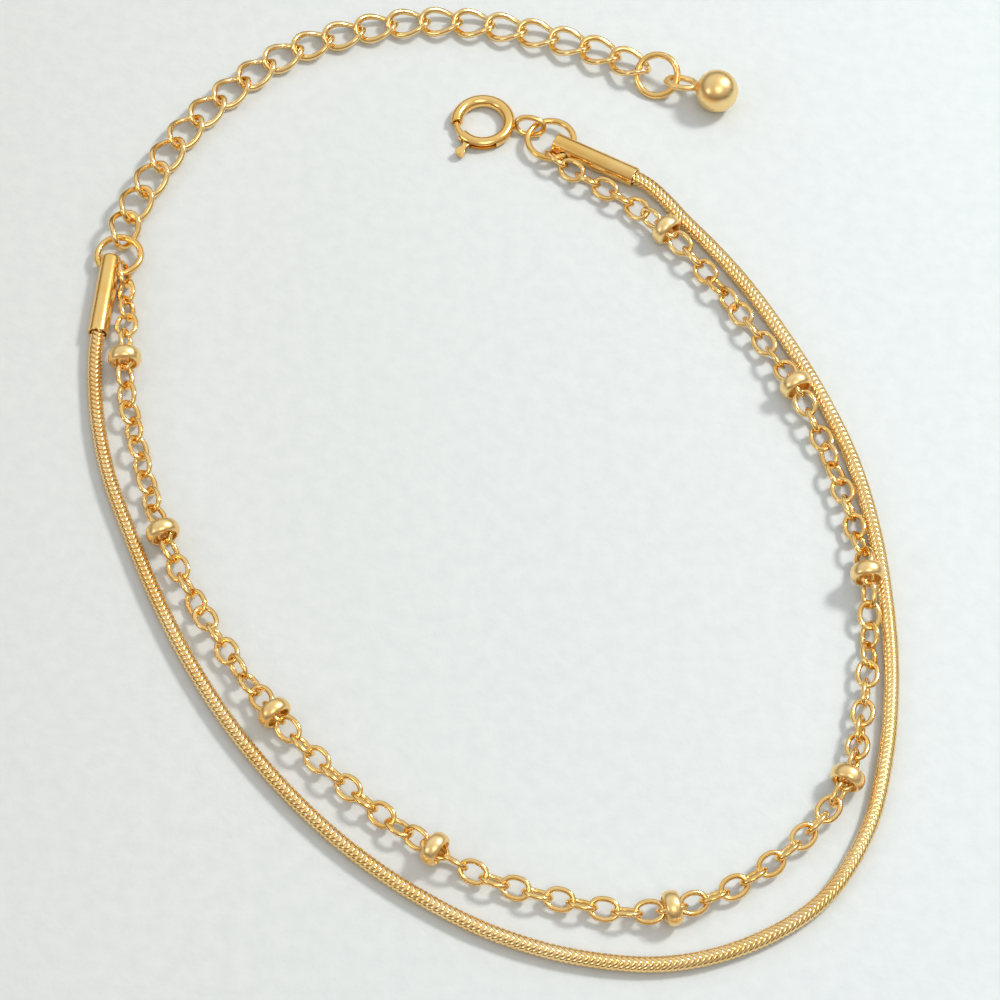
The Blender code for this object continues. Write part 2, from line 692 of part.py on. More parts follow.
def make_clasp_bolt(material):
    """The sprung bolt inside the clasp and its trigger. It turns about the ring's middle."""
    radius = (CLASP_DIAMETER - CLASP_TUBE) / 2
    bolt = tube_mesh("bolt", arc_points(radius, BOLT_START, BOLT_START + BOLT_SWEEP), BOLT_DIAMETER / 2)
    outwards = heading(TRIGGER_ANGLE)
    start = radius - BOLT_DIAMETER / 4
    end = CLASP_DIAMETER / 2 + TRIGGER_REACH
    trigger = band_mesh("trigger", [outwards * start, outwards * end], TRIGGER_WIDTH, TRIGGER_THICKNESS)
    mesh = combined_mesh("clasp_bolt", bolt, [("UNION", trigger, None)])
    place("clasp_bolt", mesh, material, Matrix.Translation(clasp_centre()))


def centre_on_origin():
    """Moves the whole so that its middle in plan is over the origin."""
    bpy.context.view_layer.update()
    corners = []
    for piece in bracelet.objects:
        corners += [piece.matrix_world @ vertex.co for vertex in piece.data.vertices]
    middle = Vector((0, 0, 0))
    for axis in (0, 1):
        spread = [corner[axis] for corner in corners]
        middle[axis] = (min(spread) + max(spread)) / 2
    for piece in bracelet.objects:
        piece.matrix_world = Matrix.Translation(-middle) @ piece.matrix_world
    return middle


clear_scene()
bracelet = bpy.data.collections.new("layered_bracelet")
cutters = bpy.data.collections.new("cutters")
for group in (bracelet, cutters):
    bpy.context.scene.collection.children.link(group)

chain_gold = gold("chain_gold", (0.83, 0.56, 0.20), 0.2)
snake_gold = gold("snake_gold", (0.86, 0.62, 0.26), 0.25)
bead_gold = gold("bead_gold", (0.87, 0.61, 0.24), 0.15)
fitting_gold = gold("fitting_gold", (0.84, 0.56, 0.21), 0.18)

mouths = make_caps(fitting_gold)
snake = snake_curve(mouths)
make_snake_chain(snake_gold, mouths, snake)
link_spots, link_directions, bead_links = make_cable_chain(chain_gold, snake)
make_beads(bead_gold, link_spots, link_directions, bead_links)
make_jump_rings(fitting_gold)
make_extender(chain_gold)
make_end_ring_and_ball(fitting_gold, bead_gold)
make_clasp_ring(fitting_gold)
make_clasp_bolt(fitting_gold)
middle = centre_on_origin()

for piece in bracelet.objects:
    piece.data.shade_smooth()
    piece.data.set_sharp_from_angle(angle=math.radians(50))
cutters.hide_render = True
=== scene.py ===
"""Looks of the layered bracelet: links, snake plates, rings, caps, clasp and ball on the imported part."""

import json
import math

import bmesh
import bpy
import numpy as np
from mathutils import Matrix, Vector

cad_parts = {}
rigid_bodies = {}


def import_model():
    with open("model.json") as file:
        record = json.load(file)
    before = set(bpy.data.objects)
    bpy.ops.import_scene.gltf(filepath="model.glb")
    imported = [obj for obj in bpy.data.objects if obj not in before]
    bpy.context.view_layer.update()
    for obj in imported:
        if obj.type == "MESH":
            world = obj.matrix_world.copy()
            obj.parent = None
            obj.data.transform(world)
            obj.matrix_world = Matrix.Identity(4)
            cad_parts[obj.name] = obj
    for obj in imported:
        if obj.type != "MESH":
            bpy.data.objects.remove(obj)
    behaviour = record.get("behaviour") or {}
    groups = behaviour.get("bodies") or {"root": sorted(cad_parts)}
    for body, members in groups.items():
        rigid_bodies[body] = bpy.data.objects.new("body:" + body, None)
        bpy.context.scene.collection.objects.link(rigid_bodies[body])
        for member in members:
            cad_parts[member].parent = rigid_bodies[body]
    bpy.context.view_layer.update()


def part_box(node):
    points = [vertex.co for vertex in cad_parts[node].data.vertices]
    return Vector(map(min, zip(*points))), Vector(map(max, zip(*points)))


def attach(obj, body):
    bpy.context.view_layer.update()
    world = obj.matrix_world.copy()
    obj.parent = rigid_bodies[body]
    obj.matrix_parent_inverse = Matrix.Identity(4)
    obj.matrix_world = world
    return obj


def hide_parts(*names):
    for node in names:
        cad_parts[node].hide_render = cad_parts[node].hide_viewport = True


for old in list(bpy.data.objects):
    bpy.data.objects.remove(old)
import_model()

MM = 0.001
WELD = 2e-8

# Camera of the photograph
CAMERA_ELEVATION = math.radians(59.7)
CAMERA_DISTANCE = 220.79 * MM
CAMERA_LENS = 117.0

# Snake chain
SNAKE_DIAMETER = 1.05 * MM
SNAKE_SETTLE = 5.0 * MM
PLATE_PITCH = 0.37 * MM
PLATE_WAVE = 0.23 * MM
PLATE_WAVE_SHARPNESS = 0.96
PLATES_INTO_CAP = 0.8 * MM
PLATE_AROUND = 48
PLATE_TURNS = ((0.0, -20), (0.08, -8), (0.2, 4), (0.45, 8), (0.6, 6), (0.8, 12), (1.0, 30))

# How much thicker than their solids the wires are drawn, as the photo shows them
LINK_BOLDER = 0.02 * MM
RING_BOLDER = 0.05 * MM

# Cable chain with beads
CABLE_LINK_LENGTH = 2.075 * MM
CABLE_LINK_WIDTH = 1.66 * MM
CABLE_WIRE = 0.34 * MM
CABLE_LINK_GAP = 0.03 * MM
CABLE_REST_GAP = 0.02 * MM
CABLE_END_SLACK = 0.21 * MM
CABLE_WIRE_SIDES = 5
BEAD_LINK_WIDTH = 1.36 * MM
LINK_FOLD = math.radians(12)
LINK_SQUARENESS = 2.15
LINK_SPREAD = ((0.0, 0.0), (0.367, 0.3712), (0.449, 0.4432), (1.0, 1.0))
LINK_TURNS = (
    (0.0, 115), (0.051, 115), (0.082, 20), (0.102, 20), (0.133, 105), (0.214, 100), (0.245, 10),
    (0.276, 30), (0.316, 90), (0.347, 0), (0.408, 10), (0.449, -15), (0.612, -30), (0.663, 68),
    (0.745, 68), (0.776, -20), (0.791, -10), (0.816, 75), (0.857, 50), (0.918, 45), (0.969, 85),
    (0.99, 50), (1.0, 80),
)
BEAD_DIAMETER = 2.3 * MM
BEAD_LENGTH = 1.04 * MM
BEAD_BORE = 1.5 * MM
BEAD_RIM = 0.09 * MM
BEAD_CROWN = 0.9
BEAD_LIFT_REACH = 2.0 * MM
BEAD_REST_GAP = 0.06 * MM
LINKS_BEFORE_BEADS = 7
LINKS_BETWEEN_BEADS = (11, 11, 11, 11, 11, 10, 11, 10)
LINKS_AFTER_BEADS = 5

# Extender chain, its end ring and the ball
EXTENDER_LINK_WIDTH = 2.5 * MM
EXTENDER_WIRE = 0.46 * MM
EXTENDER_LINK_GAP = 0.06 * MM
EXTENDER_LINKS = 20
EXTENDER_TWIST = math.radians(-84)
CURB_SQUARENESS = 2.1
EXTENDER_LIFT = 0.64 * MM
EXTENDER_START_ROLL = math.radians(35)
EXTENDER_START_HEADING = math.radians(80)
EXTENDER_ROLL_REACH = 5.0 * MM
EXTENDER_START_LIFT = 0.3 * MM
EXTENDER_END_LIFT = 0.3 * MM
EXTENDER_LIFT_REACH = 6.0 * MM
END_RING_DIAMETER = 3.45 * MM
END_RING_WIRE = 0.45 * MM
END_RING_TILT = math.radians(33)
END_RING_CUT = math.radians(84)
END_RING_CUT_GAP = 0.06 * MM
BALL_DIAMETER = 3.1 * MM
BALL_EYE_LENGTH = 2.7 * MM
BALL_EYE_WIDTH = 1.95 * MM
BALL_EYE_WIRE = 0.42 * MM
BALL_EYE_LEAN = math.radians(24)

# Jump rings and end caps
LEFT_RING_DIAMETER = 3.5 * MM
RIGHT_RING_DIAMETER = 3.75 * MM
JUMP_RING_WIRE = 0.42 * MM
LEFT_RING_CUT = math.radians(78)
LEFT_RING_CUT_GAP = 0.03 * MM
RIGHT_RING_CUT = math.radians(124)
RIGHT_RING_CUT_GAP = 0.07 * MM
WIRE_EDGE = 0.03 * MM
CUTTER_EDGE = 0.02 * MM
TUBE_EDGE = 0.06 * MM
BOLT_EDGE = 0.05 * MM
CAP_DIAMETER = 1.46 * MM
CAP_LENGTH = 6.5 * MM
CAP_HOLE_SETBACK = 1.25 * MM
CAP_HOLE_CLEARANCE = 0.1 * MM
CAP_HOLE_SWEEP = math.radians(60)
CAP_SOCKET_DEPTH = 1.6 * MM
CAP_FIT = 0.06 * MM
CAP_END_ROUNDINGS = {"end_cap_left": 0.36 * MM, "end_cap_right": 0.12 * MM}
CAP_RIM_ROUNDING = 0.07 * MM
CAP_MOUTH_ROUNDING = 0.04 * MM

# Spring ring clasp
CLASP_DIAMETER = 4.72 * MM
CLASP_TUBE = 0.9 * MM
CLASP_WALL = 0.13 * MM
CLASP_MOUTH = math.radians(218)
CLASP_TIP = math.radians(182)
CLASP_TIP_BORE = 0.6 * MM
BORE_OVERRUN = math.radians(8)
BOLT_DIAMETER = 0.44 * MM
BOLT_START = math.radians(178)
BOLT_SWEEP = math.radians(150)
BOLT_TRAVEL = math.radians(45)
BOLT_END_CLEARANCE = math.radians(4)
TRIGGER_ANGLE = math.radians(239)
TRIGGER_WIDTH = 0.56 * MM
TRIGGER_THICKNESS = 0.34 * MM
TRIGGER_CLEARANCE = 0.08 * MM
TRIGGER_SLOT_DEPTH = 0.315 * MM
TRIGGER_SLOT_REACH = 0.3 * MM
TRIGGER_EDGE = 0.06 * MM
TRIGGER_SWELL = 0.5
TRIGGER_SWELL_START = 0.1 * MM
TRIGGER_SWELL_RUN = 0.5 * MM
CLASP_EYE_LENGTH = 2.45 * MM
CLASP_EYE_WIDTH = 1.75 * MM
CLASP_EYE_WIRE = 0.36 * MM
CLASP_EYE_LEAN = math.radians(60)
CLASP_EYE_ANGLE = math.radians(-10.4)
SOLDER_DEPTH = 0.12 * MM

# Half widths of the trigger at distances outside the clasp's edge, in mm
TRIGGER_OUTLINE = (
    (-0.56, 0.25), (0.05, 0.25), (0.15, 0.21), (0.4, 0.2), (0.62, 0.33), (0.9, 0.35),
    (1.03, 0.29), (1.1, 0.17),
)

# Section of one plate: how far along in pitches, and how far out as a share of the radius
PLATE_SECTION = (
    (-0.62, 0.660), (-0.36, 0.800), (-0.12, 0.920), (0.20, 0.995), (0.48, 0.990),
    (0.67, 0.930), (0.73, 0.720), (-0.50, 0.600),
)

# Solder round the ball's eye: how far outside the ball, and its radius, in mm
SOLDER_PROFILE = ((-0.2, 0.0), (-0.2, 0.5), (-0.03, 0.44), (0.06, 0.36), (0.13, 0.24), (0.15, 0.0))

# Gold: size of its patches and fine relief, and how far its roughness varies
GOLD_PATCHES = 420.0
GOLD_RELIEF = 0.02 * MM
GOLD_ROUGHNESS_SPREAD = 0.1

# Floor card: just under the pieces, so that they don't share a plane with it
FLOOR_HALF = 1.2
FLOOR_DROP = 0.03 * MM
FLOOR_RELIEF = 0.15 * MM
# Painted light falloff across the floor card: darker and warmer at the left X, brighter and cooler at the
# right X
PAINTED_FALLOFF_LEFT = -35 * MM
PAINTED_FALLOFF_RIGHT = 40 * MM

# How finely the round forms are drawn: steps along the wire and sides round it
LINK_STEPS = 44
LINK_SIDES = 16
CURB_STEPS = 80
CURB_SIDES = 20
EYE_STEPS = 72
EYE_SIDES = 20
RING_STEPS = 110
RING_SIDES = 24
TUBE_STEPS = 160
TUBE_SIDES = 48
BOLT_STEPS = 90
BOLT_SIDES = 24
POCKET_STEPS = 90
TIP_STEPS = 12
DRILL_STEPS = 40
CUTTER_SIDES = 32
SLOT_STEPS = 40

# How finely the turned forms are drawn: steps along the section and segments round it
BEAD_SECTION_STEPS = 56
BEAD_SEGMENTS = 72
BALL_SECTION_STEPS = 65
BALL_SEGMENTS = 96
SOLDER_SEGMENTS = 48
CAP_END_STEPS = 10
CAP_RIM_STEPS = 6
CAP_MOUTH_STEPS = 4
CAP_SEGMENTS = 96

# Where the rigid pieces lie, in plan
CLASP_PLACE = Vector((-1.24, 31.57)) * MM
RIGHT_RING_PLACE = Vector((3.68, 29.78)) * MM
RIGHT_CAP_HEADING = math.radians(-28.8)
RIGHT_CAP_CROSSING = math.radians(-31)
RIGHT_CABLE_CROSSING = math.radians(-83)
RIGHT_CABLE_HEADING = math.radians(-48)
LEFT_RING_PLACE = Vector((-26.96, 19.63)) * MM
LEFT_CAP_HEADING = math.radians(-95)
LEFT_CAP_CROSSING = math.radians(-114)
LEFT_CABLE_CROSSING = math.radians(-72)
END_RING_PLACE = Vector((11.5, 35.37)) * MM
BALL_PLACE = Vector((15.78, 33.55)) * MM

# Chain routes in plan, in mm
SNAKE_ROUTE = (
    (-27.9, 7.7), (-26.8, 2.2), (-24.9, -3.0), (-22.7, -8.2), (-20.2, -13.1), (-17.2, -17.8),
    (-13.7, -22.1), (-9.7, -26.0), (-5.2, -29.3), (-0.3, -31.9), (5.0, -33.5), (10.6, -33.9),
    (15.9, -32.5), (20.5, -29.5), (23.5, -24.8), (25.0, -19.5), (25.7, -13.9), (25.7, -8.4),
    (25.2, -2.8), (24.1, 2.6), (22.2, 7.9), (19.8, 12.9), (17.0, 17.7), (13.7, 22.1),
)
CABLE_ROUTE = (
    (9.1, 24.2), (13.0, 20.2), (16.2, 15.6), (19.1, 10.9), (21.5, 5.7), (23.2, 0.3), (24.3, -5.3),
    (24.4, -10.9), (23.6, -16.7), (22.3, -21.5), (19.3, -25.4), (14.9, -28.8), (9.6, -30.6),
    (3.9, -29.7), (-1.5, -27.9), (-6.3, -24.8), (-10.6, -21.1), (-14.6, -16.8), (-17.8, -12.3),
    (-20.7, -7.4), (-23.0, -2.2), (-24.6, 3.3), (-25.85, 8.7), (-26.1, 14.7),
)
EXTENDER_ROUTE = (
    (-26.75, 21.75), (-25.0, 26.4), (-22.7, 30.7), (-19.6, 34.3), (-16.0, 37.4), (-11.7, 39.4),
    (-7.0, 40.5), (-2.4, 40.5), (2.4, 39.5), (7.1, 37.8), (9.52, 36.55),
)

ring_low, ring_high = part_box("jump_ring_left")
MIDDLE = Vector((*LEFT_RING_PLACE, 0)) - (ring_low + ring_high) / 2
MIDDLE.z = 0


# Routes and places, as in the part's source


def hermite(points, start=None, end=None, per_span=12):
    """A smooth curve through the points, with these directions at its ends."""
    slopes = [(points[min(i + 1, len(points) - 1)] - points[max(i - 1, 0)]) / 2 for i in range(len(points))]
    if start is not None:
        slopes[0] = start.normalized() * (points[1] - points[0]).length
    if end is not None:
        slopes[-1] = end.normalized() * (points[-1] - points[-2]).length
    curve = []
    for first, second, slope, next_slope in zip(points, points[1:], slopes, slopes[1:]):
        for step in range(per_span):
            t = step / per_span
            curve.append(
                first * (2 * t**3 - 3 * t**2 + 1)
                + slope * (t**3 - 2 * t**2 + t)
                + second * (3 * t**2 - 2 * t**3)
                + next_slope * (t**3 - t**2)
            )
    curve.append(points[-1].copy())
    return curve


def distances(points):
    """How far along the curve each of its points is."""
    total = [0.0]
    for first, second in zip(points, points[1:]):
        total.append(total[-1] + (second - first).length)
    return total


def at_distance(points, total, distance):
    """The point at this distance along the curve."""
    span = 0
    while span < len(points) - 2 and total[span + 1] < distance:
        span += 1
    share = (distance - total[span]) / (total[span + 1] - total[span])
    return points[span].lerp(points[span + 1], share)


def spaced(points, count):
    """Evenly spaced points on the curve."""
    total = distances(points)
    return [at_distance(points, total, total[-1] * i / (count - 1)) for i in range(count)]


def placed_at(points, shares):
    """The curve's points at these shares of its length and its directions there."""
    total = distances(points)
    reach = total[-1] / (len(shares) - 1) / 4
    spots = []
    directions = []
    for share in shares:
        distance = share * total[-1]
        before = at_distance(points, total, max(distance - reach, 0))
        after = at_distance(points, total, min(distance + reach, total[-1]))
        spots.append(at_distance(points, total, distance))
        directions.append((after - before).normalized())
    return spots, directions


def plan_route(route, height):
    """A route given in mm as points at one height."""
    return [Vector((x * MM, y * MM, height)) for x, y in route]


def along(direction, spot, roll=0.0):
    """A place whose X axis follows the direction, rolled about it."""
    direction = direction.normalized()
    side = Vector((0, 0, 1)).cross(direction).normalized()
    up = direction.cross(side)
    turn = Matrix((direction, side, up)).transposed().to_4x4()
    return Matrix.Translation(spot) @ turn @ Matrix.Rotation(roll, 4, "X")


def heading(angle):
    """A level direction."""
    return Vector((math.cos(angle), math.sin(angle), 0.0))


def ring_spot(ring_place, diameter, angle):
    """A spot on the middle of a jump ring's wire."""
    centre = Vector((*ring_place, CAP_DIAMETER / 2))
    return centre + heading(angle) * (diameter - JUMP_RING_WIRE) / 2


def table_value(table, share):
    """The value of a (share, value) table at this share, in between by straight lines."""
    for (start, value), (end, next_value) in zip(table, table[1:]):
        if share <= end:
            break
    return value + (next_value - value) * (share - start) / (end - start)


def cap_placements():
    """Name, ring diameter, hole crossing seen along the cap, place and mouth of each end cap."""
    found = []
    for name, place_in_plan, diameter, cap_heading, crossing in (
        ("end_cap_left", LEFT_RING_PLACE, LEFT_RING_DIAMETER, LEFT_CAP_HEADING, LEFT_CAP_CROSSING),
        ("end_cap_right", RIGHT_RING_PLACE, RIGHT_RING_DIAMETER, RIGHT_CAP_HEADING, RIGHT_CAP_CROSSING),
    ):
        axis = heading(cap_heading)
        spot = ring_spot(place_in_plan, diameter, crossing) - axis * CAP_HOLE_SETBACK
        mouth = spot + axis * CAP_LENGTH
        found.append((name, diameter, crossing - cap_heading, along(axis, spot), mouth, axis))
    return found


def snake_curve(mouths):
    """The snake chain's middle line, settling from the caps onto the surface."""
    (left_mouth, left_axis), (right_mouth, right_axis) = mouths
    ends = [Vector((mouth.x, mouth.y, 0)) for mouth in (left_mouth, right_mouth)]
    curve = hermite([ends[0], *plan_route(SNAKE_ROUTE, 0), ends[1]], left_axis, -right_axis)
    total = distances(curve)
    raised = []
    for point, distance in zip(curve, total):
        share = min(1, min(distance, total[-1] - distance) / SNAKE_SETTLE)
        drop = (CAP_DIAMETER - SNAKE_DIAMETER) / 2 * (3 * share**2 - 2 * share**3)
        raised.append(point + Vector((0, 0, CAP_DIAMETER / 2 - drop)))
    return raised


def bead_indices(count):
    """The links that carry a bead."""
    whole = LINKS_BEFORE_BEADS + 1 + sum(LINKS_BETWEEN_BEADS) + LINKS_AFTER_BEADS
    places = [LINKS_BEFORE_BEADS]
    for gap in LINKS_BETWEEN_BEADS:
        places.append(places[-1] + gap)
    return [round(place_index * count / whole) for place_index in places]


def cable_pitch():
    """The distance between the middles of two taut links."""
    flat = CABLE_WIRE / 2 * math.cos(math.pi / CABLE_WIRE_SIDES)
    return CABLE_LINK_LENGTH - CABLE_WIRE - 2 * flat - CABLE_LINK_GAP


def link_count(run):
    """How many links the run takes where they lie widest."""
    spreads = []
    for (start, near), (end, far) in zip(LINK_SPREAD, LINK_SPREAD[1:]):
        spreads.append((far - near) / (end - start))
    return round(run * max(spreads) / cable_pitch()) + 1


def cable_ends():
    """The middles of the first and the last link, hooked on the jump rings."""
    reach = CABLE_LINK_LENGTH / 2 - CABLE_WIRE - JUMP_RING_WIRE / 2 - CABLE_LINK_GAP
    ends = []
    for place_in_plan, diameter, crossing, neighbour in (
        (RIGHT_RING_PLACE, RIGHT_RING_DIAMETER, RIGHT_CABLE_CROSSING, CABLE_ROUTE[0]),
        (LEFT_RING_PLACE, LEFT_RING_DIAMETER, LEFT_CABLE_CROSSING, CABLE_ROUTE[-1]),
    ):
        hooked = ring_spot(place_in_plan, diameter, crossing)
        hooked.z = 0
        run = Vector((neighbour[0] * MM, neighbour[1] * MM, 0)) - hooked
        ends.append(hooked + run.normalized() * (reach - CABLE_END_SLACK))
    return ends


def bead_height(spot, snake):
    """The height of a bead's middle: on the surface, or leaning on the snake chain."""
    touch = (BEAD_DIAMETER + SNAKE_DIAMETER) / 2 + BEAD_REST_GAP
    near = min(math.hypot(point.x - spot.x, point.y - spot.y) for point in snake)
    leaning = SNAKE_DIAMETER / 2 + math.sqrt(max(0.0, touch**2 - near**2))
    return max(BEAD_DIAMETER / 2, leaning if near < touch else 0.0)


def cable_frames(snake):
    """Each cable link's spot, direction and turn, and the links that carry a bead."""
    first, last = cable_ends()
    curve = hermite([first, *plan_route(CABLE_ROUTE, 0), last], heading(RIGHT_CABLE_HEADING))
    total = distances(curve)
    count = link_count(total[-1])
    shares = [table_value(LINK_SPREAD, i / (count - 1)) for i in range(count)]
    turns = [math.radians(table_value(LINK_TURNS, i / (count - 1))) for i in range(count)]
    lying = list(zip(shares, turns))
    beads = bead_indices(count)
    heights = []
    for bead in beads:
        share = shares[bead]
        heights.append((share, bead_height(at_distance(curve, total, total[-1] * share), snake)))
    raised = []
    for point, distance in zip(curve, total):
        share = distance / total[-1]
        turn = table_value(lying, share)
        steepest = max(abs(math.sin(turn)), abs(math.cos(turn)))
        level = (CABLE_LINK_WIDTH - CABLE_WIRE) / 2 * steepest + CABLE_WIRE / 2 + CABLE_REST_GAP
        lift = 0.0
        for bead_share, height in heights:
            away = (share - bead_share) * total[-1] / BEAD_LIFT_REACH
            lift = max(lift, (height - level) * math.exp(-(away**2)))
        raised.append(point + Vector((0, 0, level + lift)))
    crossed = [turn + i * math.pi / 2 for i, turn in enumerate(turns)]
    return *placed_at(raised, shares), crossed, beads


# Mesh tools


def grid_faces(rows, columns, wrap_rows=False):
    """Quads of a grid of vertices, row by row, each row a closed ring."""
    row = np.arange(rows if wrap_rows else rows - 1)
    column = np.arange(columns)
    here = row[:, None] * columns
    below = (row[:, None] + 1) % rows * columns
    corners = (here + column, here + (column + 1) % columns, below + (column + 1) % columns, below + column)
    return np.stack([corner.ravel() for corner in corners], 1)


def array_mesh(name, vertices, quads):
    """A mesh of quads from arrays."""
    mesh = bpy.data.meshes.new(name)
    vertices = np.ascontiguousarray(vertices, np.float32)
    quads = np.ascontiguousarray(quads, np.int32)
    mesh.vertices.add(len(vertices))
    mesh.vertices.foreach_set("co", vertices.ravel())
    mesh.loops.add(quads.size)
    mesh.loops.foreach_set("vertex_index", quads.ravel())
    mesh.polygons.add(len(quads))
    mesh.polygons.foreach_set("loop_start", np.arange(0, quads.size, 4, dtype=np.int32))
    mesh.update(calc_edges=True)
    mesh.validate()
    return mesh


def cleaned(mesh):
    """Welds collapsed rings, turns the faces out and drops faces with no area."""
    shape = bmesh.new()
    shape.from_mesh(mesh)
    bmesh.ops.remove_doubles(shape, verts=shape.verts, dist=WELD)
    bmesh.ops.recalc_face_normals(shape, faces=shape.faces)
    shape.to_mesh(mesh)
    shape.free()
    return mesh


def round_section(radius, sides):
    """The corners of a round wire's section."""
    angles = np.arange(sides) * 2 * math.pi / sides
    return np.stack([radius * np.cos(angles), radius * np.sin(angles)], 1)


def ring_grid(centres, normals, binormals, section):
    """Vertices of a section carried along centres. The section may differ from row to row."""
    section = np.broadcast_to(section, (len(centres), *section.shape[-2:]))
    return (
        centres[:, None, :]
        + section[:, :, 0:1] * normals[:, None, :]
        + section[:, :, 1:2] * binormals[:, None, :]
    ).reshape(-1, 3)


def oval_line(length, width, wire, steps, squareness):
    """The middle line of a link in its own XY plane, with its outward normals."""
    t = np.arange(steps) * 2 * math.pi / steps
    power = 2 / squareness
    x = (length - wire) / 2 * np.sign(np.cos(t)) * np.abs(np.cos(t)) ** power
    y = (width - wire) / 2 * np.sign(np.sin(t)) * np.abs(np.sin(t)) ** power
    line = np.stack([x, y, np.zeros(steps)], 1)
    tangent = np.roll(line, -1, 0) - np.roll(line, 1, 0)
    tangent /= np.linalg.norm(tangent, axis=1)[:, None]
    normal = np.stack([tangent[:, 1], -tangent[:, 0], np.zeros(steps)], 1)
    return line, normal


def link_arrays(length, width, wire, steps, sides, squareness=LINK_SQUARENESS, twist=0.0):
    """A closed link along X of round wire, its ends turned against each other by the twist."""
    line, normal = oval_line(length, width, wire, steps, squareness)
    up = np.tile([0.0, 0.0, 1.0], (steps, 1))
    vertices = ring_grid(line, normal, up, round_section(wire / 2, sides))
    if twist:
        lean = twist * vertices[:, 0] / length
        y = vertices[:, 1] * np.cos(lean) - vertices[:, 2] * np.sin(lean)
        z = vertices[:, 1] * np.sin(lean) + vertices[:, 2] * np.cos(lean)
        vertices = np.stack([vertices[:, 0], y, z], 1)
    return vertices, grid_faces(steps, sides, wrap_rows=True)


def moved(vertices, matrix):
    """The vertices carried by a placing matrix."""
    m = np.array(matrix)
    return vertices @ m[:3, :3].T + m[:3, 3]


def rod_arrays(radius, start, end, wire, steps, sides, bevel):
    """A closed rod bent on an arc, with flat ends and rounded edges."""
    edge = np.linspace(0, 1, 5)
    shrink = bevel * (1 - np.sqrt(np.clip(1 - (1 - edge) ** 2, 0, 1)))
    step_angle = bevel / radius
    sign = 1 if end > start else -1
    head = start + sign * step_angle * edge
    tail = end - sign * step_angle * edge[::-1]
    body = np.linspace(head[-1], tail[0], steps)[1:-1]
    angles = np.concatenate([[start], head, body, tail, [end]])
    rounded = wire / 2 - shrink
    radii = np.concatenate([[0.0], rounded, np.full(len(body), wire / 2), rounded[::-1], [0.0]])
    normal = np.stack([np.cos(angles), np.sin(angles), np.zeros(len(angles))], 1)
    up = np.tile([0.0, 0.0, 1.0], (len(angles), 1))
    section = round_section(1.0, sides)[None] * radii[:, None, None]
    return ring_grid(radius * normal, normal, up, section), grid_faces(len(angles), sides)


def turned_arrays(profile, segments, closed=False):
    """A profile of (distance along X, radius) turned about X."""
    profile = np.array(profile, float)
    angles = np.arange(segments) * 2 * math.pi / segments
    x = np.repeat(profile[:, 0], segments)
    y = (profile[:, 1][:, None] * np.cos(angles)).ravel()
    z = (profile[:, 1][:, None] * np.sin(angles)).ravel()
    return np.stack([x, y, z], 1), grid_faces(len(profile), segments, wrap_rows=closed)


def fillet(corner, before, after, radius, steps):
    """Points of a rounded corner between two directions of a profile."""
    corner, before, after = (np.array(v, float) for v in (corner, before, after))
    start = corner + (before - corner) / np.linalg.norm(before - corner) * radius
    end = corner + (after - corner) / np.linalg.norm(after - corner) * radius
    t = np.linspace(0, 1, steps)[:, None]
    return [tuple(p) for p in (1 - t) ** 2 * start + 2 * t * (1 - t) * corner + t**2 * end]


def joined(parts):
    """Several (vertices, quads) pairs as one."""
    vertices = []
    quads = []
    start = 0
    for v, q in parts:
        vertices.append(v)
        quads.append(q + start)
        start += len(v)
    return np.concatenate(vertices), np.concatenate(quads)


def piece(name, mesh, material, body, nodes, sharp=None):
    """A finished piece over the CAD nodes that it replaces. Edges bent more than sharp degrees stay crisp."""
    mesh.transform(Matrix.Translation(-MIDDLE))
    mesh.materials.clear()
    mesh.materials.append(material)
    mesh.shade_smooth()
    if sharp:
        mesh.set_sharp_from_angle(angle=math.radians(sharp))
    found = bpy.data.objects.new(name, mesh)
    bpy.context.scene.collection.objects.link(found)
    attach(found, body)
    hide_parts(*nodes)


def boolean_mesh(base, steps):
    """The base mesh with each (operation, mesh) applied in order."""
    helper = bpy.data.objects.new("helper", base)
    bpy.context.scene.collection.objects.link(helper)
    used = [helper]
    for operation, mesh in steps:
        other = bpy.data.objects.new("other", mesh)
        bpy.context.scene.collection.objects.link(other)
        cut = helper.modifiers.new(operation, "BOOLEAN")
        cut.operation = operation
        cut.solver = "EXACT"
        cut.object = other
        used.append(other)
    bpy.context.view_layer.update()
    result = bpy.data.meshes.new_from_object(helper.evaluated_get(bpy.context.evaluated_depsgraph_get()))
    for other in used:
        bpy.data.objects.remove(other)
    return result


# Materials


def link_nodes(tree, *pairs):
    """Joins each (source, target) pair of sockets."""
    for source, target in pairs:
        tree.links.new(source, target)


def noise(tree, scale, detail):
    """A noise texture."""
    node = tree.nodes.new("ShaderNodeTexNoise")
    node.inputs["Scale"].default_value = scale
    node.inputs["Detail"].default_value = detail
    return node


def colour_ramp(tree, *stops):
    """A ramp between two (position, colour) stops."""
    node = tree.nodes.new("ShaderNodeValToRGB")
    for element, (position, colour) in zip(node.color_ramp.elements, stops):
        element.position = position
        element.color = (*colour, 1)
    return node


def map_range(tree, low, high, to_low=0.0, to_high=1.0):
    """A range of values carried to another one."""
    node = tree.nodes.new("ShaderNodeMapRange")
    node.inputs["From Min"].default_value = low
    node.inputs["From Max"].default_value = high
    node.inputs["To Min"].default_value = to_low
    node.inputs["To Max"].default_value = to_high
    return node


def bump(tree, strength, distance):
    """A relief of this strength and depth."""
    node = tree.nodes.new("ShaderNodeBump")
    node.inputs["Strength"].default_value = strength
    node.inputs["Distance"].default_value = distance
    return node


def multiplied(tree, first, second):
    """The colour that two colours give when multiplied."""
    node = tree.nodes.new("ShaderNodeMix")
    node.data_type = "RGBA"
    node.blend_type = "MULTIPLY"
    node.inputs["Factor"].default_value = 1.0
    link_nodes(tree, (first, node.inputs[6]), (second, node.inputs[7]))
    return node.outputs[2]


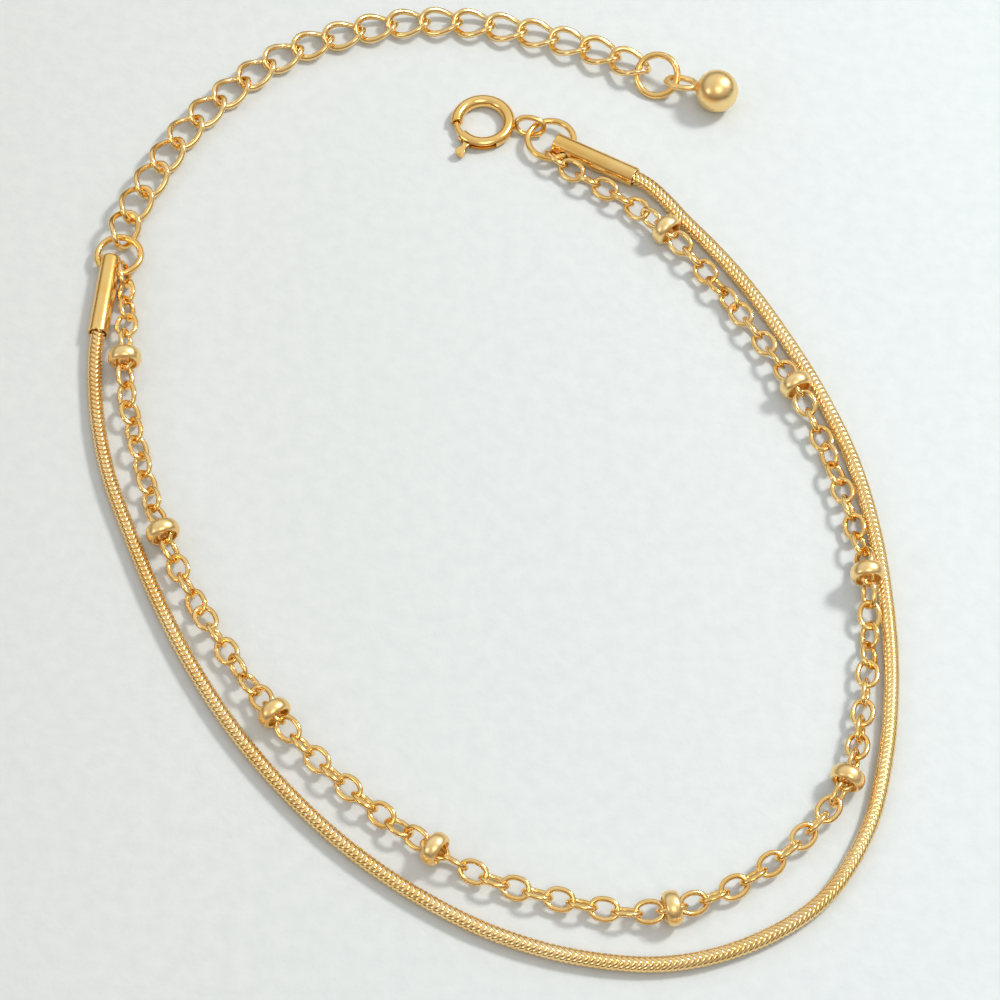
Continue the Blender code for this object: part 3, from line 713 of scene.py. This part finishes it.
def gold(name, colour, dark, roughness, grain, strength):
    """Polished gold plate with slight patches of tone and a fine grain of wear."""
    material = bpy.data.materials.new(name)
    material.use_nodes = True
    tree = material.node_tree
    shader = tree.nodes["Principled BSDF"]
    shader.inputs["Metallic"].default_value = 1.0
    place = tree.nodes.new("ShaderNodeTexCoord")
    patches = noise(tree, GOLD_PATCHES, 3.0)
    tone = colour_ramp(tree, (0.35, dark), (0.65, colour))
    fine = noise(tree, grain, 4.0)
    rough = map_range(tree, 0.3, 0.7, roughness, roughness + GOLD_ROUGHNESS_SPREAD)
    relief = bump(tree, strength, GOLD_RELIEF)
    link_nodes(
        tree,
        (place.outputs["Object"], patches.inputs["Vector"]),
        (place.outputs["Object"], fine.inputs["Vector"]),
        (patches.outputs["Fac"], tone.inputs["Fac"]),
        (tone.outputs["Color"], shader.inputs["Base Color"]),
        (fine.outputs["Fac"], rough.inputs["Value"]),
        (rough.outputs["Result"], shader.inputs["Roughness"]),
        (fine.outputs["Fac"], relief.inputs["Height"]),
        (relief.outputs["Normal"], shader.inputs["Normal"]),
    )
    return material


chain_gold = gold("cable_gold", (0.98, 0.68, 0.28), (0.92, 0.58, 0.18), 0.10, 5200.0, 0.06)
curb_gold = gold("curb_gold", (0.98, 0.71, 0.33), (0.93, 0.62, 0.23), 0.10, 4800.0, 0.06)
plate_gold = gold("plate_gold", (0.98, 0.71, 0.34), (0.93, 0.62, 0.24), 0.11, 5200.0, 0.06)
ball_gold = gold("ball_gold", (0.98, 0.72, 0.34), (0.94, 0.64, 0.26), 0.27, 4200.0, 0.04)
ring_gold = gold("ring_gold", (0.97, 0.65, 0.24), (0.91, 0.56, 0.16), 0.15, 4600.0, 0.03)

# Camera
camera = bpy.data.objects.new("camera", bpy.data.cameras.new("camera"))
camera.data.lens = CAMERA_LENS
camera.data.sensor_width = 36.0
camera.data.clip_start = 0.01
camera.data.clip_end = 20.0
camera.location = Vector(
    (0, -CAMERA_DISTANCE * math.cos(CAMERA_ELEVATION), CAMERA_DISTANCE * math.sin(CAMERA_ELEVATION))
) - MIDDLE
camera.rotation_euler = (math.pi / 2 - CAMERA_ELEVATION, 0, 0)
bpy.context.scene.collection.objects.link(camera)
bpy.context.scene.camera = camera

# Snake chain: saddle-shaped plates, each tucked under the next
caps = cap_placements()
mouths = [(mouth, axis) for _, _, _, _, mouth, axis in caps]
snake = snake_curve(mouths)
tucked = [mouth - axis * PLATES_INTO_CAP for mouth, axis in mouths]
snake_line = [tucked[0], *snake, tucked[1]]
snake_length = distances(snake_line)[-1]
plate_count = round(snake_length / PLATE_PITCH)
plate_spots = np.array([tuple(p) for p in spaced(snake_line, plate_count)])


def plate_arrays(first, last):
    """The snake chain's plates from the first up to the last one."""
    radius = SNAKE_DIAMETER / 2
    angles = np.arange(PLATE_AROUND) * 2 * math.pi / PLATE_AROUND
    parts = []
    for i in range(first, last):
        before = plate_spots[max(i - 1, 0)]
        after = plate_spots[min(i + 1, plate_count - 1)]
        direction = (after - before) / np.linalg.norm(after - before)
        side = np.cross([0, 0, 1.0], direction)
        side /= np.linalg.norm(side)
        up = np.cross(direction, side)
        apex = math.radians(table_value(PLATE_TURNS, i / (plate_count - 1)))
        around = angles + apex
        wave = np.arcsin(PLATE_WAVE_SHARPNESS * np.sin(2 * around + math.pi / 2))
        ahead = PLATE_WAVE * wave / math.asin(PLATE_WAVE_SHARPNESS)
        radial = np.cos(angles)[:, None] * up + np.sin(angles)[:, None] * side
        rows = []
        for shift, share in PLATE_SECTION:
            rows.append(
                plate_spots[i] + (ahead + shift * PLATE_PITCH)[:, None] * direction + radius * share * radial
            )
        parts.append((np.concatenate(rows), grid_faces(len(PLATE_SECTION), PLATE_AROUND, wrap_rows=True)))
    return joined(parts)


half_count = plate_count // 2
for name, first, last in (
    ("snake_plates_left", 0, half_count),
    ("snake_plates_right", half_count, plate_count),
):
    mesh = array_mesh(name, *plate_arrays(first, last))
    piece(name, mesh, plate_gold, "bracelet", ["snake_chain"], sharp=50)


def folded(turn):
    """A link's turn about the run, eased towards lying flat where the link stands on edge."""
    lean = (turn + math.pi / 2) % math.pi - math.pi / 2
    return lean - math.copysign(LINK_FOLD, lean) if abs(lean) > math.pi / 4 else lean


# Cable chain and beads
spots, directions, turns, bead_links = cable_frames(snake)
widest = max((after - before).length for before, after in zip(spots, spots[1:]))
link_length = CABLE_LINK_LENGTH + widest - cable_pitch() + 2 * LINK_BOLDER
plain_link = link_arrays(link_length, CABLE_LINK_WIDTH, CABLE_WIRE + LINK_BOLDER, LINK_STEPS, LINK_SIDES)
bead_link = link_arrays(link_length, BEAD_LINK_WIDTH, CABLE_WIRE + LINK_BOLDER, LINK_STEPS, LINK_SIDES)
parts = []
for i, (spot, direction) in enumerate(zip(spots, directions)):
    vertices, quads = bead_link if i in bead_links else plain_link
    parts.append((moved(vertices, along(direction, spot, folded(turns[i]))), quads))
links = array_mesh("cable_links", *joined(parts))
piece("cable_links", links, chain_gold, "bracelet", ["cable_chain"])


def bead_profile():
    """The closed section of a bead: a crowned outside, rolled edges and a plain bore."""
    inner = BEAD_BORE / 2
    outer = BEAD_DIAMETER / 2
    rim = inner + BEAD_RIM
    t = np.linspace(0, 2 * math.pi, BEAD_SECTION_STEPS, endpoint=False)
    height = np.where(np.sin(t) > 0, outer - rim, rim - inner)
    x = BEAD_LENGTH / 2 * np.cos(t)
    r = rim + height * np.sign(np.sin(t)) * np.abs(np.sin(t)) ** BEAD_CROWN
    return np.stack([x, r], 1)


for number, index in enumerate(bead_links, 1):
    level = Vector((directions[index].x, directions[index].y, 0))
    spot = spots[index].copy()
    spot.z = max(spot.z, BEAD_DIAMETER / 2)
    vertices, quads = turned_arrays(bead_profile(), BEAD_SEGMENTS, closed=True)
    mesh = array_mesh(f"round_bead_{number}", moved(vertices, along(level, spot)), quads)
    piece(f"round_bead_{number}", mesh, ball_gold, "bracelet", [f"bead_{number}"])

# Extender
curve = hermite(plan_route(EXTENDER_ROUTE, EXTENDER_LIFT), heading(EXTENDER_START_HEADING))
total = distances(curve)
raised = []
for point, distance in zip(curve, total):
    start = EXTENDER_START_LIFT * math.exp(-distance / EXTENDER_LIFT_REACH)
    end = EXTENDER_END_LIFT * math.exp(-(total[-1] - distance) / EXTENDER_LIFT_REACH)
    raised.append(point + Vector((0, 0, start + end)))
shares = [i / (EXTENDER_LINKS - 1) for i in range(EXTENDER_LINKS)]
curb_spots, curb_directions = placed_at(raised, shares)
curb_pitch = (curb_spots[-1] - curb_spots[-2]).length
curb_length = curb_pitch + 2 * EXTENDER_WIRE + EXTENDER_LINK_GAP
curb = link_arrays(
    curb_length, EXTENDER_LINK_WIDTH, EXTENDER_WIRE, CURB_STEPS, CURB_SIDES, CURB_SQUARENESS, EXTENDER_TWIST
)
for i, (spot, direction) in enumerate(zip(curb_spots, curb_directions)):
    roll = EXTENDER_START_ROLL * math.exp(-i * curb_pitch / EXTENDER_ROLL_REACH)
    name = f"curb_link_{i + 1:02d}"
    mesh = array_mesh(name, moved(curb[0], along(direction, spot, roll)), curb[1])
    piece(name, mesh, curb_gold, "bracelet", [f"extender_link_{i + 1:02d}"])


# Jump rings and end ring, each with its closed cut
def cut_ring(name, node, diameter, wire, cut, gap, place):
    """A ring of bolder wire than the solid's, its ends facing each other across a small gap."""
    middle = (diameter - wire) / 2
    start = cut + gap / middle / 2
    end = cut - gap / middle / 2 + 2 * math.pi
    vertices, quads = rod_arrays(middle, start, end, wire + RING_BOLDER, RING_STEPS, RING_SIDES, WIRE_EDGE)
    mesh = cleaned(array_mesh(name, moved(vertices, place), quads))
    piece("round_" + name, mesh, ring_gold, "bracelet", [node], sharp=50)


for name, spot, diameter, cut, gap in (
    ("jump_ring_left", LEFT_RING_PLACE, LEFT_RING_DIAMETER, LEFT_RING_CUT, LEFT_RING_CUT_GAP),
    ("jump_ring_right", RIGHT_RING_PLACE, RIGHT_RING_DIAMETER, RIGHT_RING_CUT, RIGHT_RING_CUT_GAP),
):
    place = Matrix.Translation(Vector((*spot, CAP_DIAMETER / 2)))
    cut_ring(name, name, diameter, JUMP_RING_WIRE, cut, gap, place)

mean = (END_RING_DIAMETER - END_RING_WIRE) / 2
ring_centre = Vector((*END_RING_PLACE, END_RING_WIRE / 2 + mean * math.sin(END_RING_TILT)))
ball_centre = Vector((*BALL_PLACE, BALL_DIAMETER / 2))
run = ball_centre - ring_centre
run.z = 0
place = along(run, ring_centre, END_RING_TILT)
cut_ring(
    "end_ring", "extender_end_ring", END_RING_DIAMETER, END_RING_WIRE, END_RING_CUT, END_RING_CUT_GAP, place
)

# Ball with its eye and solder
hooked = ring_centre + run.normalized() * mean
towards = (hooked - ball_centre).normalized()
eye_centre = towards * (BALL_DIAMETER / 2 + BALL_EYE_LENGTH / 2 - SOLDER_DEPTH)
ball_radius = BALL_DIAMETER / 2
half_turn = np.linspace(0, math.pi, BALL_SECTION_STEPS)
ball_profile = [(-ball_radius * math.cos(a), ball_radius * math.sin(a)) for a in half_turn]
ball = cleaned(array_mesh("ball", *turned_arrays(ball_profile, BALL_SEGMENTS)))
ball.transform(along(towards, Vector((0, 0, 0))))
eye_wire = BALL_EYE_WIRE + RING_BOLDER
eye = array_mesh("eye", *link_arrays(BALL_EYE_LENGTH, BALL_EYE_WIDTH, eye_wire, EYE_STEPS, EYE_SIDES))
eye.transform(along(towards, eye_centre, BALL_EYE_LEAN))
solder_profile = [(ball_radius + x * MM, radius * MM) for x, radius in SOLDER_PROFILE]
solder = cleaned(array_mesh("solder", *turned_arrays(solder_profile, SOLDER_SEGMENTS)))
solder.transform(along(towards, Vector((0, 0, 0))))
ball = boolean_mesh(ball, [("UNION", solder), ("UNION", eye)])
ball.transform(Matrix.Translation(ball_centre))
piece("polished_ball", ball, ball_gold, "bracelet", ["ball_drop"], sharp=40)


# End caps
def cap_profile(name):
    """A cap's section: rounded end, rim and mouth, and the socket that the chain sits in."""
    radius = CAP_DIAMETER / 2
    socket = SNAKE_DIAMETER / 2 + CAP_FIT
    end = (0.0, radius)
    rim = (CAP_LENGTH, radius)
    profile = [(0.0, 0.0)]
    profile += fillet(end, (0.0, 0.0), rim, CAP_END_ROUNDINGS[name], CAP_END_STEPS)
    profile += fillet(rim, end, (CAP_LENGTH, 0.0), CAP_RIM_ROUNDING, CAP_RIM_STEPS)
    profile += fillet((CAP_LENGTH, socket), rim, (0.0, socket), CAP_MOUTH_ROUNDING, CAP_MOUTH_STEPS)
    profile += [(CAP_LENGTH - CAP_SOCKET_DEPTH, socket), (CAP_LENGTH - CAP_SOCKET_DEPTH, 0.0)]
    return profile


def cap_drill(diameter, crossing):
    """The cutter of a cap's hole, bent like the jump ring that runs through it."""
    middle = (diameter - JUMP_RING_WIRE) / 2
    centre = Vector((CAP_HOLE_SETBACK, 0, 0)) - heading(crossing) * middle
    start = crossing - CAP_HOLE_SWEEP
    end = crossing + CAP_HOLE_SWEEP
    bore = JUMP_RING_WIRE + 2 * CAP_HOLE_CLEARANCE
    vertices, quads = rod_arrays(middle, start, end, bore, DRILL_STEPS, CUTTER_SIDES, CUTTER_EDGE)
    return cleaned(array_mesh("drill", moved(vertices, Matrix.Translation(centre)), quads))


for name, diameter, crossing, place, _, _ in caps:
    body = cleaned(array_mesh(name, *turned_arrays(cap_profile(name), CAP_SEGMENTS)))
    mesh = boolean_mesh(body, [("DIFFERENCE", cap_drill(diameter, crossing))])
    mesh.transform(place)
    piece("turned_" + name, mesh, ring_gold, "bracelet", [name], sharp=32)

# Clasp
clasp_centre = Vector((*CLASP_PLACE, CLASP_TUBE / 2))
radius = (CLASP_DIAMETER - CLASP_TUBE) / 2


def bent_rod(name, start, end, wire, steps, sides, edge):
    """A rod bent like the clasp's ring."""
    return cleaned(array_mesh(name, *rod_arrays(radius, start, end, wire, steps, sides, edge)))


tube_end = CLASP_TIP + 2 * math.pi
tube = bent_rod("tube", CLASP_MOUTH, tube_end, CLASP_TUBE, TUBE_STEPS, TUBE_SIDES, TUBE_EDGE)
bore = CLASP_TUBE - 2 * CLASP_WALL
pocket_start = CLASP_MOUTH - BORE_OVERRUN
pocket_end = BOLT_START + BOLT_SWEEP + BOLT_TRAVEL + BOLT_END_CLEARANCE
pocket = bent_rod("pocket", pocket_start, pocket_end, bore, POCKET_STEPS, CUTTER_SIDES, CUTTER_EDGE)
tip_start = BOLT_START - BOLT_END_CLEARANCE
tip_end = CLASP_TIP + BORE_OVERRUN
tip = bent_rod("tip", tip_start, tip_end, CLASP_TIP_BORE, TIP_STEPS, CUTTER_SIDES, CUTTER_EDGE)


def slot_mesh():
    """The cutter of the trigger's slot: an upright box bent along the outer side of the tube."""
    margin = (TRIGGER_WIDTH / 2 + TRIGGER_CLEARANCE) / radius
    angles = np.linspace(TRIGGER_ANGLE - margin, TRIGGER_ANGLE + BOLT_TRAVEL + margin, SLOT_STEPS)
    height = TRIGGER_THICKNESS / 2 + TRIGGER_CLEARANCE
    inside = -TRIGGER_SLOT_DEPTH
    outside = TRIGGER_SLOT_REACH
    corners = np.array([(inside, -height), (outside, -height), (outside, height), (inside, height)])
    normal = np.stack([np.cos(angles), np.sin(angles), np.zeros(len(angles))], 1)
    up = np.tile([0.0, 0.0, 1.0], (len(angles), 1))
    vertices = ring_grid((radius + CLASP_TUBE / 2) * normal, normal, up, corners)
    faces = [tuple(int(k) for k in quad) for quad in grid_faces(len(angles), 4)]
    faces += [(0, 1, 2, 3), tuple(range(len(vertices) - 4, len(vertices)))]
    mesh = bpy.data.meshes.new("slot")
    mesh.from_pydata([tuple(v) for v in vertices], [], faces)
    return cleaned(mesh)


eye_reach = CLASP_DIAMETER / 2 + CLASP_EYE_LENGTH / 2 - SOLDER_DEPTH
side_wire = (CLASP_EYE_WIDTH - CLASP_EYE_WIRE) / 2
eye_height = side_wire * math.sin(CLASP_EYE_LEAN) + CLASP_EYE_WIRE / 2 - CLASP_TUBE / 2
eye_spot = heading(CLASP_EYE_ANGLE) * eye_reach + Vector((0, 0, eye_height))
eye_wire = CLASP_EYE_WIRE + RING_BOLDER
eye = array_mesh("eye", *link_arrays(CLASP_EYE_LENGTH, CLASP_EYE_WIDTH, eye_wire, EYE_STEPS, EYE_SIDES))
eye.transform(along(heading(CLASP_EYE_ANGLE), eye_spot, CLASP_EYE_LEAN))
clasp = boolean_mesh(
    tube, [("UNION", eye), ("DIFFERENCE", pocket), ("DIFFERENCE", tip), ("DIFFERENCE", slot_mesh())]
)
clasp.transform(Matrix.Translation(clasp_centre))
piece("round_clasp_ring", clasp, ring_gold, "bracelet", ["clasp_ring"], sharp=32)

bolt_end = BOLT_START + BOLT_SWEEP
bolt = bent_rod("bolt", BOLT_START, bolt_end, BOLT_DIAMETER, BOLT_STEPS, BOLT_SIDES, BOLT_EDGE)


def trigger_mesh():
    """The trigger: a tab with a waist and a wider rounded thumb end, its edges softened."""
    half = TRIGGER_THICKNESS / 2
    edge = CLASP_DIAMETER / 2
    shape = bmesh.new()
    loop = [(edge + x * MM, width * MM) for x, width in TRIGGER_OUTLINE]
    loop += [(x, -width) for x, width in reversed(loop)]
    bottom = [shape.verts.new((x, y, -half)) for x, y in loop]
    face = shape.faces.new(bottom)
    raised = bmesh.ops.extrude_face_region(shape, geom=[face])
    top = [v for v in raised["geom"] if isinstance(v, bmesh.types.BMVert)]
    bmesh.ops.translate(shape, verts=top, vec=(0, 0, 2 * half))
    bmesh.ops.recalc_face_normals(shape, faces=shape.faces)
    edges = [e for e in shape.edges if e.is_boundary or e.calc_face_angle(0) > math.radians(40)]
    bmesh.ops.bevel(shape, geom=edges, offset=TRIGGER_EDGE, segments=4, profile=0.5, affect="EDGES")
    mesh = bpy.data.meshes.new("trigger")
    shape.to_mesh(mesh)
    shape.free()
    for vertex in mesh.vertices:
        beyond = vertex.co.x - edge - TRIGGER_SWELL_START
        vertex.co.z *= 1 + TRIGGER_SWELL * min(1, max(0, beyond / TRIGGER_SWELL_RUN))
    mesh.transform(Matrix.Rotation(TRIGGER_ANGLE, 4, "Z"))
    return mesh


bolt = boolean_mesh(bolt, [("UNION", trigger_mesh())])
bolt.transform(Matrix.Translation(clasp_centre))
piece("round_clasp_bolt", bolt, ring_gold, "bolt", ["clasp_bolt"], sharp=40)


# Floor
def card(name):
    """Pale matt card, faintly mottled, with painted light falloff: a little warmer and darker on the left,
    brighter and cooler on the right.
    """
    material = bpy.data.materials.new(name)
    material.use_nodes = True
    tree = material.node_tree
    shader = tree.nodes["Principled BSDF"]
    shader.inputs["Roughness"].default_value = 0.75
    shader.inputs["Specular IOR Level"].default_value = 0.2
    place = tree.nodes.new("ShaderNodeTexCoord")
    fibre = noise(tree, 900.0, 5.0)
    tone = colour_ramp(tree, (0.35, (0.640, 0.677, 0.692)), (0.65, (0.668, 0.703, 0.715)))
    split = tree.nodes.new("ShaderNodeSeparateXYZ")
    across = map_range(tree, PAINTED_FALLOFF_LEFT, PAINTED_FALLOFF_RIGHT)
    # Painted light falloff: the card's colour darker and warmer on the left, brighter and cooler on the
    # right, as light falling from the right would give
    side = colour_ramp(tree, (0.0, (0.92, 0.905, 0.87)), (1.0, (0.97, 1.0, 1.0)))
    relief = bump(tree, 0.35, FLOOR_RELIEF)
    colour = multiplied(tree, tone.outputs["Color"], side.outputs["Color"])
    link_nodes(
        tree,
        (place.outputs["Object"], fibre.inputs["Vector"]),
        (fibre.outputs["Fac"], tone.inputs["Fac"]),
        (place.outputs["Object"], split.inputs["Vector"]),
        (split.outputs["X"], across.inputs["Value"]),
        (across.outputs["Result"], side.inputs["Fac"]),
        (colour, shader.inputs["Base Color"]),
        (fibre.outputs["Fac"], relief.inputs["Height"]),
        (relief.outputs["Normal"], shader.inputs["Normal"]),
    )
    return material


corners = [(x * FLOOR_HALF, y * FLOOR_HALF, 0) for x, y in ((-1, -1), (1, -1), (1, 1), (-1, 1))]
floor_mesh = bpy.data.meshes.new("floor")
floor_mesh.from_pydata(corners, [], [(0, 1, 2, 3)])
floor_mesh.materials.append(card("floor_card"))
floor = bpy.data.objects.new("floor", floor_mesh)
floor.location.z = -FLOOR_DROP
bpy.context.scene.collection.objects.link(floor)


# Light
def area_light(name, azimuth, elevation, distance, size, power, colour):
    """A square soft light that faces the bracelet. Azimuth 0 is on the +X side, 90 on the +Y side."""
    data = bpy.data.lights.new(name, "AREA")
    data.shape = "SQUARE"
    data.size = size
    data.energy = power
    data.color = colour
    light = bpy.data.objects.new(name, data)
    a, e = math.radians(azimuth), math.radians(elevation)
    away = Vector((math.cos(a) * math.cos(e), math.sin(a) * math.cos(e), math.sin(e)))
    light.location = away * distance
    light.rotation_mode = "QUATERNION"
    light.rotation_quaternion = away.to_track_quat("Z", "Y")
    light.visible_camera = False
    bpy.context.scene.collection.objects.link(light)


area_light("key", azimuth=28, elevation=48, distance=0.5, size=0.085, power=1.65, colour=(1.0, 0.97, 0.92))
area_light("fill", azimuth=-75, elevation=60, distance=1.2, size=0.5, power=2.2, colour=(1.0, 0.98, 0.95))
area_light("side", azimuth=205, elevation=30, distance=1.2, size=0.3, power=1.0, colour=(1.0, 0.98, 0.95))


# Studio round the scene: brighter and cooler at the back, dark and warm at the horizon
def studio():
    """The world that lights the scene and shows in the metal."""
    world = bpy.data.worlds.new("studio")
    world.use_nodes = True
    tree = world.node_tree
    background = tree.nodes["Background"]
    coordinates = tree.nodes.new("ShaderNodeTexCoord")
    split = tree.nodes.new("ShaderNodeSeparateXYZ")
    depth = map_range(tree, -1.0, 1.0)
    front_to_back = colour_ramp(tree, (0.1, (0.55, 0.49, 0.44)), (0.75, (0.88, 0.92, 0.97)))
    upwards = colour_ramp(tree, (0.1, (0.12, 0.09, 0.07)), (0.52, (1, 1, 1)))
    light = multiplied(tree, front_to_back.outputs["Color"], upwards.outputs["Color"])
    link_nodes(
        tree,
        (coordinates.outputs["Generated"], split.inputs["Vector"]),
        (split.outputs["Y"], depth.inputs["Value"]),
        (depth.outputs["Result"], front_to_back.inputs["Fac"]),
        (split.outputs["Z"], upwards.inputs["Fac"]),
        (light, background.inputs["Color"]),
    )
    background.inputs["Strength"].default_value = 0.96
    return world


bpy.context.scene.world = studio()
bpy.context.scene.view_settings.view_transform = "Standard"
